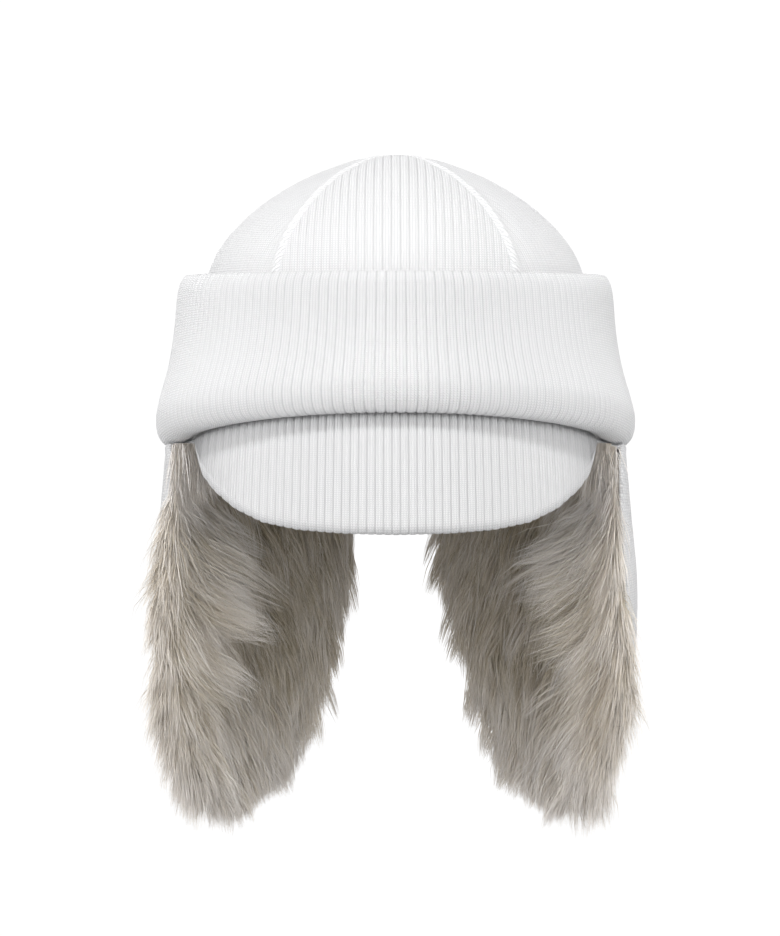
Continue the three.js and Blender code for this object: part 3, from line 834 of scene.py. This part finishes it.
def hair_directions(rng, hairs, lie):
    """The directions in which each hair leaves its root and in which it ends."""
    own, collar = hairs.own, hairs.collar
    calm = 1 - 0.6 * lie.at_back
    jitter = np.clip(rng.normal(0, 1, (len(own), 3)), -2.2, 2.2)
    jitter = jitter * 0.11 * calm[:, None] * (1 + 1.4 * lie.stray[:, None])
    loose = calm * (1 + 0.35 * lie.at_front)
    tuft_lean = np.clip(rng.normal(0, 1, (hairs.tufts, 3)), -2, 2)[own] * loose[:, None]
    back_lean = lie.at_back * rng.uniform(-0.05, 0.5, hairs.tufts)[own]
    back_lean = back_lean * (0.3 + 0.8 * below(hairs.z, -150, 60))
    fan = rng.uniform(0.3, 0.95, hairs.tufts)[own] + rng.normal(0, 0.25, len(own))
    fan = np.clip(fan, 0, 1.15)

    def heading(outwards, downwards, backwards, own_part, tuft_part):
        return unit(
            hairs.out * outwards[:, None]
            + DOWN * downwards[:, None]
            + hairs.backward * backwards[:, None]
            + jitter * own_part
            + tuft_lean * tuft_part
        )

    leave_out = -0.85 * (1 - lie.at_front) + 1.15 * lie.over * fan + 0.08 * lie.at_tip
    leave_down = 0.5 + 0.4 * (1 - lie.below_cuff)
    leave_back = 0.4 * back_lean - (0.75 - 0.5 * collar) * lie.at_front + 0.22 * lie.sweep
    leave_back = leave_back + 0.2 * lie.drift * calm
    inwards = (0.30 * lie.sweep + 0.65 * lie.crosswise) * (1 + 0.4 * lie.rise)
    settle_out = -0.05 - inwards + 0.14 * lie.over
    settle_down = 1.0 - 0.2 * lie.sweep - 0.45 * lie.crosswise
    settle_back = 0.8 * back_lean - (0.08 - 0.55 * collar) * lie.at_front + 0.40 * lie.sweep
    settle_back = settle_back + 0.14 * lie.drift * calm
    start = heading(leave_out, leave_down, leave_back, 1.0, 0.09)
    end = heading(settle_out, settle_down, settle_back, 0.7, 0.12)
    return start, end


def hair_lengths(rng, hairs, lie):
    """Each hair's length. At the tip the pile is longest towards the front."""
    count = len(hairs.own)
    tuft_length = rng.uniform(-0.22, 0.25, hairs.tufts)[hairs.own]
    tuft_length = 1 + tuft_length * (1 + 0.6 * lie.sweep)
    length = 34 + 12 * lie.sweep - (2 + 11 * np.clip(hairs.share / 0.8, 0, 1)) * lie.at_tip
    length = (length - 6 * lie.at_front - 5 * lie.at_back) * tuft_length
    length = length * rng.uniform(0.72, 1.12, count) * (0.55 + 0.45 * lie.below_cuff)
    return np.where(hairs.collar, rng.uniform(*COLLAR_LENGTH, count), length)


def hair_paths(hairs, lie, start, end, length):
    """Points along each hair as it bends from one direction into the other. The hairs of a tuft
    close up towards their common middle."""
    t = STATIONS[None, :, None]
    bent = start[:, None] * (t - t**2 / 2) + end[:, None] * (t**2 / 2)
    path = hairs.root[:, None] + length[:, None, None] * bent
    middle = np.zeros((hairs.tufts, len(STATIONS), 3))
    np.add.at(middle, hairs.own, path)
    in_tuft = np.bincount(hairs.own, minlength=hairs.tufts)
    middle /= np.maximum(in_tuft, 1)[:, None, None]
    close = 0.6 - 0.25 * lie.at_front + 0.2 * lie.at_tip
    close = (close[:, None] * STATIONS**1.4)[:, :, None]
    return path + (middle[hairs.own] - path) * close


def hair_ribbons(rng, hairs, path, side):
    """The points and faces of each hair as a tapered ribbon, turned about its length."""
    count = len(path)
    spin = rng.uniform(-0.9, 0.9, count)[:, None]
    along = unit(path[:, -1] - path[:, 0])
    flat = unit(np.cross(along, hairs.out))
    lift = unit(np.cross(along, flat))
    across = flat * np.cos(spin) + lift * np.sin(spin)
    wide = rng.uniform(0.7, 1.4, count)[:, None, None]
    aside = across[:, None] * HALF_HAIR[None, :, None] * wide
    body, tip = path[:, :-1], path[:, -1:]
    points = np.concatenate([body - aside, body + aside, tip], 1)
    faces = np.arange(count)[:, None, None] * POINTS_PER_HAIR + HAIR_FACES[None]
    return mirrored(side, points.reshape(-1, 3), faces.reshape(-1, 3))


def hair_shades(rng, hairs, lie):
    """Each hair's shade and its points' places between the colour of roots and of tips, both with
    some painted shade and painted light.
    """
    z, share = hairs.z, hairs.share
    # The inner band behind the combed front is darker, less so at the back edge and near the tip:
    # painted shade for the flap's shadowed inside, with the hairs' darker roots showing more there.
    pale_edge = 0.75 * np.exp(-(1 - share) / 0.13)
    deep = np.clip((share - lie.band + 0.1) / 0.25, 0, 1) * (1 - pale_edge) * (1 - lie.at_tip)
    deep = deep * np.maximum(0.25, above(z, -275, 60))
    low = below(z, -225, 35)
    tuft_shade = rng.uniform(-0.30, 0.22, hairs.tufts)[hairs.own]
    tuft_shade = tuft_shade * (1 + 1.5 * lie.sweep + 0.4 * low)
    shade = 0.82 + tuft_shade + rng.normal(0, 0.18, len(z))
    shade = shade - 0.47 * deep + 0.5 * lie.stray + 0.22 * low
    reach = rng.uniform(0.8, 1.0, len(z)) - 0.34 * deep * ~lie.stray
    # Under the cuff the hairs are painted pale from the root on, painted light against the cuff's
    # shadow on them. Towards the tip they are pale from the root on too.
    under_cuff = above(z, -175, 30) * below(share, 0.4, 0.2)
    raised = (0.75 * under_cuff + 0.2 * low)[:, None]
    up = raised + ALONG_HAIR[None, :] * (reach[:, None] - raised)
    return np.clip(shade, 0, 1)[:, None], up


def make_pile(side, name, rng, count, share_from, share_to):
    """Long tapered hairs in tufts, on the inner side of a flap and past its edges."""
    hairs = root_hairs(rng, count, share_from, share_to)
    lie = lie_of_hairs(rng, hairs, side)
    start, end = hair_directions(rng, hairs, lie)
    length = hair_lengths(rng, hairs, lie)
    path = hair_paths(hairs, lie, start, end, length)
    points, faces = hair_ribbons(rng, hairs, path, side)
    shade, up = hair_shades(rng, hairs, lie)
    make_object(name, points, faces, per_corner(shade, up, faces), FUR)


FRONT_HAIRS, BACK_HAIRS = 33000, 28000
PILES_MEET = 0.45  # a share of the flap


def make_flap(side, name, seed):
    """A flap on the wearer's left at side 1, or its mirror image at side -1, with hairs of its
    own."""
    rng = np.random.default_rng(seed)
    make_shell(side, f"{name}_flap_knit", f"{name}_flap_shell")
    make_undercoat(side, f"{name}_flap_undercoat", f"{name}_flap_fur", rng)
    make_pile(side, f"{name}_flap_front_pile", rng, FRONT_HAIRS, 0.0, PILES_MEET)
    make_pile(side, f"{name}_flap_back_pile", rng, BACK_HAIRS, PILES_MEET, 1.0)


# The stage, in metres.
FLOOR_HALF_WIDTH, FLOOR_Z = 6.0, -0.46
FLOOR_COLOUR = (0.42, 0.42, 0.42, 1)  # the camera sees it white
SEEN_WHITE = 1.05  # how bright the floor and the world look to the camera
WORLD_STRENGTH = 0.49
LIT_POINT = Vector((0, 0, -0.12))
LAMPS = (
    # name, place, size, watts
    ("top", (-0.08, -0.52, 1.5), 0.4, 13),
    ("front", (0.0, -2.3, 0.5), 1.6, 18.5),
    ("left_fill", (-2.3, -0.9, 0.25), 1.2, 28),
    ("right_fill", (2.3, -0.9, 0.25), 1.2, 24),
)


def white_to_camera(tree, lighting, surface):
    """Shows a stage surface as plain white, while it lights the object by its own colour."""
    seen = tree.nodes.new("ShaderNodeLightPath")
    white = tree.nodes.new("ShaderNodeEmission")
    white.inputs["Strength"].default_value = SEEN_WHITE
    choose = tree.nodes.new("ShaderNodeMixShader")
    tree.links.new(seen.outputs["Is Camera Ray"], choose.inputs["Fac"])
    tree.links.new(lighting, choose.inputs[1])
    tree.links.new(white.outputs[0], choose.inputs[2])
    tree.links.new(choose.outputs[0], surface)


def make_floor():
    """A wide pale floor under the flaps."""
    half, z = FLOOR_HALF_WIDTH, FLOOR_Z
    corners = [(-half, -half, z), (half, -half, z), (half, half, z), (-half, half, z)]
    mesh = bpy.data.meshes.new("floor")
    mesh.from_pydata(corners, [], [(0, 1, 2, 3)])
    n = Nodes("pale_floor")
    mesh.materials.append(n.finish({"Base Color": FLOOR_COLOUR, "Roughness": 0.9}))
    surface = n.tree.nodes["Material Output"].inputs["Surface"]
    white_to_camera(n.tree, n.shader.outputs[0], surface)
    floor = bpy.data.objects.new("floor", mesh)
    bpy.context.scene.collection.objects.link(floor)


def make_world():
    """White all round."""
    world = bpy.data.worlds.new("studio")
    bpy.context.scene.world = world
    world.use_nodes = True
    tree = world.node_tree
    background = tree.nodes["Background"]
    background.inputs["Color"].default_value = (1, 1, 1, 1)
    background.inputs["Strength"].default_value = WORLD_STRENGTH
    white_to_camera(tree, background.outputs[0], tree.nodes["World Output"].inputs["Surface"])


def make_lamps():
    """Soft lights, all turned to the middle of the cap."""
    for name, place, size, power in LAMPS:
        data = bpy.data.lights.new(name, "AREA")
        data.size = size
        data.energy = power
        lamp = bpy.data.objects.new(name, data)
        lamp.location = place
        towards = LIT_POINT - Vector(place)
        lamp.rotation_euler = towards.to_track_quat("-Z", "Y").to_euler()
        bpy.context.scene.collection.objects.link(lamp)


def set_view():
    """Plain colours, neither graded nor exposed."""
    view = bpy.context.scene.view_settings
    view.view_transform = "Standard"
    view.look = "None"
    view.exposure = 0
    view.gamma = 1


CAMERA_DISTANCE, CAMERA_RISE = 1.5, math.radians(2)
CAMERA_AIM = (-0.0025, 0, -0.1371)
SENSOR_WIDTH = 36
PHOTO_WIDTH, MM_A_PIXEL = 780, 0.449  # a photo pixel at the cap's middle


def make_camera():
    """The photo's view, a little above level in front."""
    data = bpy.data.cameras.new("photo")
    data.sensor_fit = "HORIZONTAL"
    data.sensor_width = SENSOR_WIDTH
    shown = MM_A_PIXEL * PHOTO_WIDTH * MM
    data.lens = SENSOR_WIDTH * CAMERA_DISTANCE / shown
    x, _, z = CAMERA_AIM
    back, up = CAMERA_DISTANCE * math.cos(CAMERA_RISE), CAMERA_DISTANCE * math.sin(CAMERA_RISE)
    camera = bpy.data.objects.new("photo", data)
    camera.location = (x, -back, z + up)
    camera.rotation_euler = (math.pi / 2 - CAMERA_RISE, 0, 0)
    bpy.context.scene.collection.objects.link(camera)
    bpy.context.scene.camera = camera


make_camera()
make_floor()
make_world()
make_lamps()
set_view()
make_crown()
make_cuff()
make_peak()
make_flap(1, "left", 11)
make_flap(-1, "right", 29)
